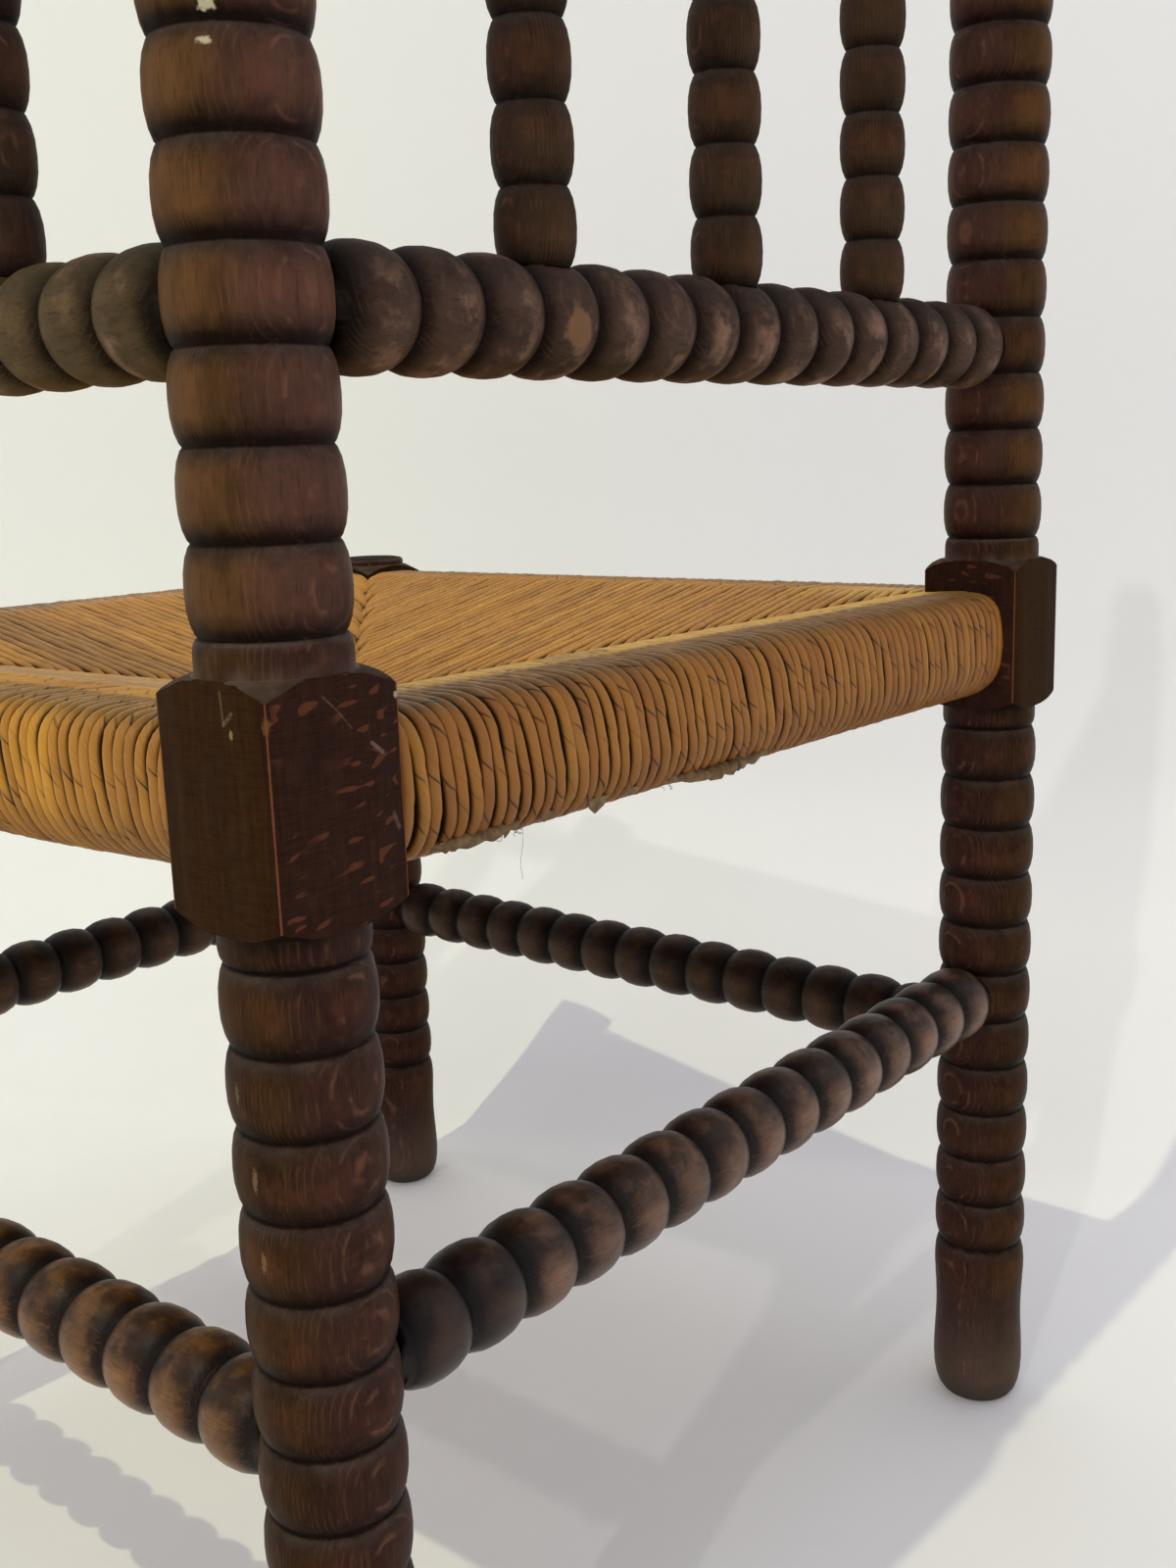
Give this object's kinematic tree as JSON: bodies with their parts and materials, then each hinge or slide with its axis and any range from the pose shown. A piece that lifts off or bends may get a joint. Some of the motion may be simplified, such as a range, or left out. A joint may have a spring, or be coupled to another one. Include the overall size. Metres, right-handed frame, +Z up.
{
  "type": "bobbin corner chair",
  "caption": "Corner chair of bobbin-turned posts, rails, spindles and stretchers, with a dished square seat wound from twisted rush",
  "frame": {"origin": "on the floor under the middle of the seat", "axes": "+Z up; the sitter faces -Y, so the back corner post stands at +Y, the front leg at -Y, and the sitter's right is -X"},
  "size_m": [0.6652, 0.6652, 0.7952],
  "materials": {
    "wood": "satin",
    "wood_light": "satin",
    "rush": "matte"
  },
  "bodies": {
    "root": {"back_post": "wood", "right_post": "wood", "left_post": "wood", "front_leg": "wood", "lower_back_rail_right": "wood", "lower_back_rail_left": "wood", "upper_back_rail_right": "wood", "upper_back_rail_left": "wood", "spindle_right_1": "wood", "spindle_right_2": "wood", "spindle_right_3": "wood", "spindle_left_1": "wood", "spindle_left_2": "wood", "spindle_left_3": "wood", "stretcher_back_right": "wood_light", "stretcher_back_left": "wood_light", "stretcher_front_right": "wood_light", "stretcher_front_left": "wood_light", "seat_rail_back_right": "wood", "seat_rail_back_left": "wood", "seat_rail_front_right": "wood", "seat_rail_front_left": "wood", "rush_seat": "rush"}
  },
  "joints": []
}
